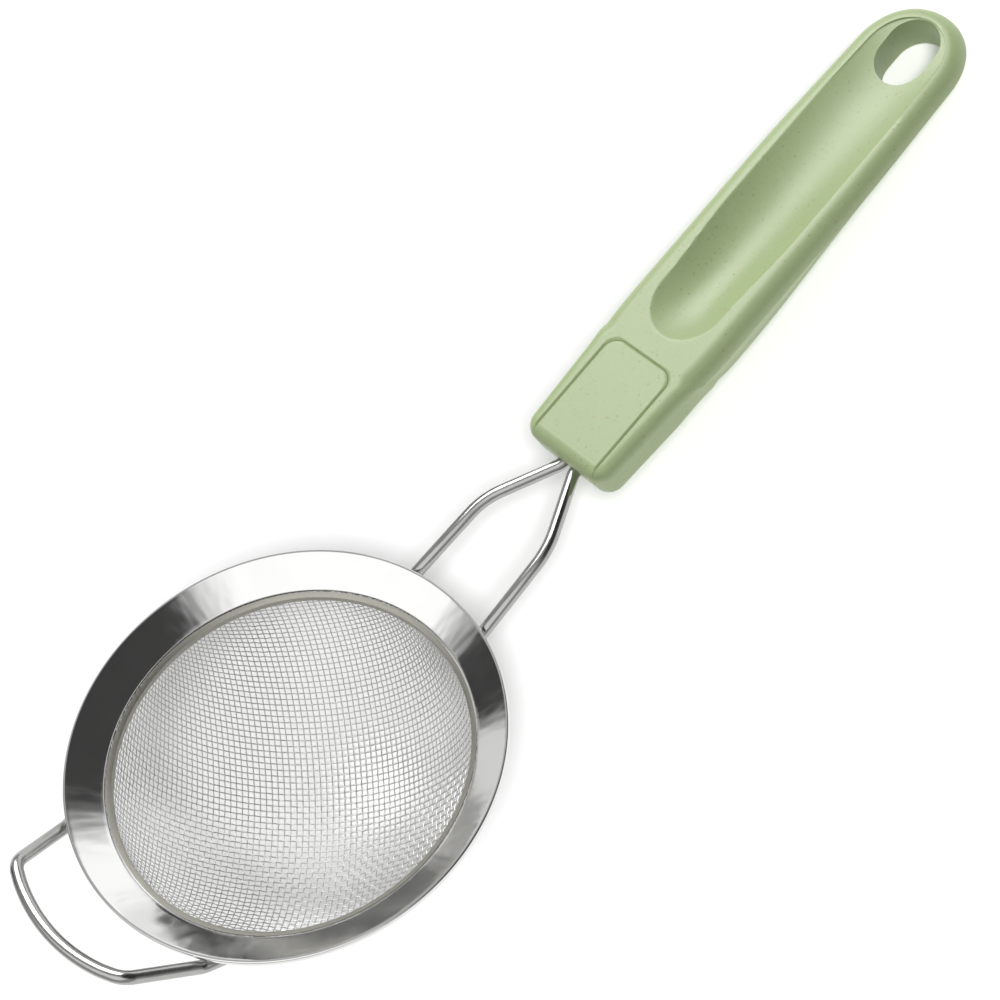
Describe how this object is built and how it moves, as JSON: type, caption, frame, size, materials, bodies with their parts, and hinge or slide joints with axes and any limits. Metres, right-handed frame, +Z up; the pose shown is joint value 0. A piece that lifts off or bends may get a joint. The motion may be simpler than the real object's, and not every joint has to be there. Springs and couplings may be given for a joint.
{
  "type": "hand strainer",
  "caption": "Fine-mesh hand strainer: woven-wire bowl in a rolled steel rim, wire shank with a plastic handle, and a wire rest in front.",
  "frame": {"origin": "on the floor under the centre of the overall box, with the strainer standing on its bowl and the end of its handle", "axes": "+X from the bowl towards the end of the handle, +Z up; the strainer is symmetric about the XZ plane"},
  "size_m": [0.2756, 0.1, 0.0777],
  "materials": {
    "polished_steel": "polished",
    "satin_steel": "satin",
    "woven_wire": "bright woven wire",
    "bright_wire": "bright drawn wire",
    "green_plastic": "satin, finely speckled"
  },
  "bodies": {
    "root": {"rim_flange": "polished_steel", "mesh_clamp_ring": "satin_steel", "mesh_bowl": "woven_wire", "handle_wire": "bright_wire", "rest_loop": "bright_wire", "handle_body": "green_plastic", "neck_insert": "green_plastic"}
  },
  "joints": []
}
